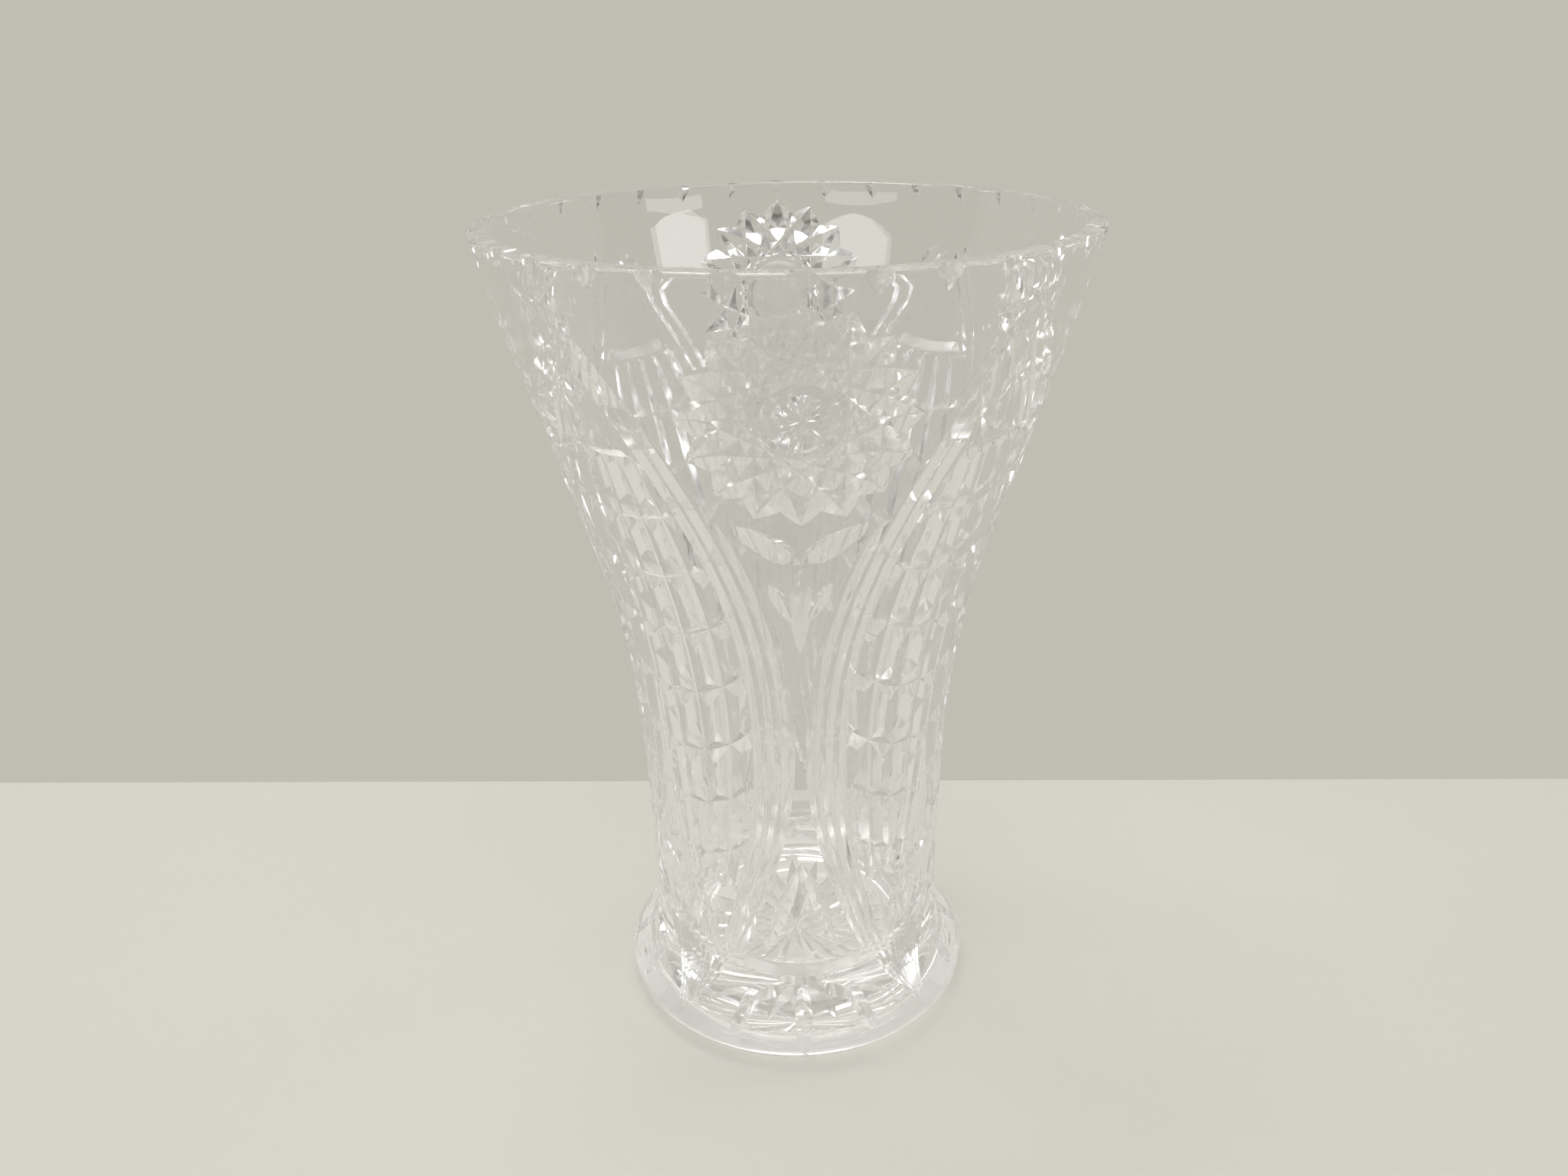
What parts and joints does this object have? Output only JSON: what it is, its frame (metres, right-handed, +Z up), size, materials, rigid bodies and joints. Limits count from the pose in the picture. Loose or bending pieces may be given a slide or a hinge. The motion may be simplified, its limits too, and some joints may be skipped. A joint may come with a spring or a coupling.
{
  "type": "cut crystal vase",
  "caption": "Tall flared vase of clear cut crystal with a round bulged foot, scalloped rim, hobstars and block-cut panels; holds water and cut flowers.",
  "frame": {"origin": "centre of the foot, on the surface that the vase stands on", "axes": "+Z up along the vase's axis; one of the four hobstars faces -Y"},
  "size_m": [0.1692, 0.1692, 0.25],
  "materials": {
    "crystal": "clear lead crystal, polished inside and on every cut, finely ground on the foot ring"
  },
  "bodies": {
    "root": {"vase_body": "crystal"}
  },
  "joints": []
}
